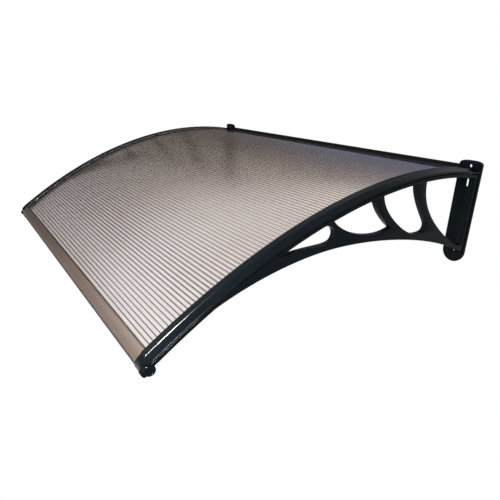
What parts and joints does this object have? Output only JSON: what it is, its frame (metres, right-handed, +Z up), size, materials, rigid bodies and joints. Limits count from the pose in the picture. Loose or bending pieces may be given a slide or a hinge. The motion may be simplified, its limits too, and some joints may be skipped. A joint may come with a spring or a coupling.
{
  "type": "polycarbonate door canopy",
  "caption": "Arched door canopy: a bronze twin-wall polycarbonate sheet clamped on two moulded wall brackets, with an aluminium front rail and a wall rail.",
  "frame": {"origin": "on the wall plane, in the middle of the width, at the height where the top of the sheet meets the wall", "axes": "+Y into the wall, so the canopy reaches out along -Y; +X along the wall; +Z up"},
  "size_m": [1.2, 0.8974, 0.2733],
  "materials": {
    "bronze_sheet": "translucent bronze twin-wall polycarbonate",
    "black_plastic": "satin moulded",
    "black_rubber": "matte",
    "clear_lip": "soft translucent lip",
    "taupe_aluminium": "satin taupe coated aluminium",
    "black_aluminium": "satin black coated aluminium",
    "zinc_steel": "zinc plated"
  },
  "bodies": {
    "root": {"twin_wall_sheet": "bronze_sheet", "bracket_right": "black_plastic", "bracket_left": "black_plastic", "cover_strip_right": "black_plastic", "cover_strip_left": "black_plastic", "strip_gasket_right": "clear_lip", "strip_gasket_left": "clear_lip", "rail_cap_right": "black_plastic", "rail_cap_left": "black_plastic", "front_rail": "taupe_aluminium", "front_glazing_gasket": "black_rubber", "drip_seal": "black_rubber", "rear_rail": "black_aluminium", "rear_glazing_gasket": "black_rubber", "wall_seal": "black_rubber", "clamp_screw_right_1": "zinc_steel", "clamp_screw_right_2": "zinc_steel", "clamp_screw_right_3": "zinc_steel", "clamp_screw_right_4": "zinc_steel", "clamp_screw_right_5": "zinc_steel", "clamp_screw_left_1": "zinc_steel", "clamp_screw_left_2": "zinc_steel", "clamp_screw_left_3": "zinc_steel", "clamp_screw_left_4": "zinc_steel", "clamp_screw_left_5": "zinc_steel"}
  },
  "joints": []
}
